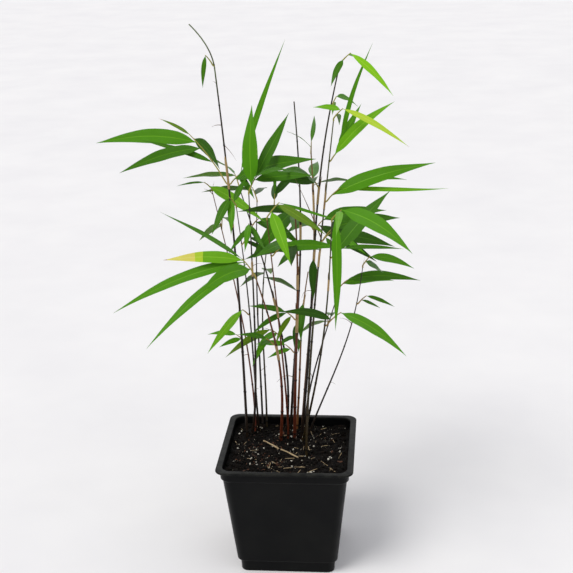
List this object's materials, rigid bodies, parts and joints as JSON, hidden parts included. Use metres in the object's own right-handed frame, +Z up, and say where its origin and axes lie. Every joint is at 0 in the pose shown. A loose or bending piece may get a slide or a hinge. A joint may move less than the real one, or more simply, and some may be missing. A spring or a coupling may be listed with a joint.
{
  "type": "potted bamboo",
  "caption": "Young bamboo in a square black nursery pot: slender upright culms from one clump with sprays of narrow green leaves.",
  "frame": {"origin": "centre of the pot's flat underside", "axes": "+Z up along the pot's axis, +X to the plant's right and -Y to its front"},
  "size_m": [0.2709, 0.2683, 0.416],
  "materials": {
    "pot": "black moulded nursery pot plastic, satin, grey along the lip",
    "soil": "damp dark potting mix with pale mineral grains and brown bark bits",
    "culm": "smooth thin culms, red-brown to olive, with pale papery sheaths at the nodes",
    "leaf": "thin parallel-veined blades, fresh green with a few yellow and brown tips"
  },
  "bodies": {
    "root": {"pot": "pot", "soil": "soil", "culm_tall_left": "culm", "culm_thin_left": "culm", "culm_green_left": "culm", "culm_slim_left": "culm", "culm_front_left": "culm", "culm_back_lean": "culm", "culm_brown_low": "culm", "culm_dark_lean": "culm", "culm_front_thin": "culm", "culm_spike": "culm", "culm_brown_pair": "culm", "culm_stub": "culm", "culm_broad_brown": "culm", "culm_tall_right": "culm", "culm_front_right": "culm", "culm_mid_right": "culm", "culm_outer_right": "culm", "culm_second_right": "culm", "spray_hook": "leaf", "spray_upper_left": "leaf", "spray_tall_left_mid": "leaf", "spray_thin_left_tip": "leaf", "spray_thin_left_back": "leaf", "spray_low_left": "leaf", "spray_inner_left": "leaf", "spray_left_low": "leaf", "spray_slim_back": "leaf", "spray_slim_low": "leaf", "spray_spears": "leaf", "spray_pale_tip": "leaf", "spray_back_low": "leaf", "spray_left_mid": "leaf", "spray_dark_back": "leaf", "spray_low_front": "leaf", "spray_front_fan": "leaf", "spray_spike_mass": "leaf", "spray_low_hang": "leaf", "spray_low_centre": "leaf", "spray_stub_side": "leaf", "spray_brown_side": "leaf", "spray_brown_mass": "leaf", "spray_broad_back": "leaf", "spray_broad_top": "leaf", "spray_tall_right_tip": "leaf", "spray_tall_right_neck": "leaf", "spray_hanging": "leaf", "spray_front_right_top": "leaf", "spray_front_right_mid": "leaf", "spray_low_right": "leaf", "spray_mid_right_tip": "leaf", "spray_mid_back": "leaf", "spray_outer_right_tip": "leaf", "spray_second_right_tip": "leaf", "spray_uprights": "leaf", "spray_right_mass": "leaf", "spray_long_right": "leaf"}
  },
  "joints": []
}
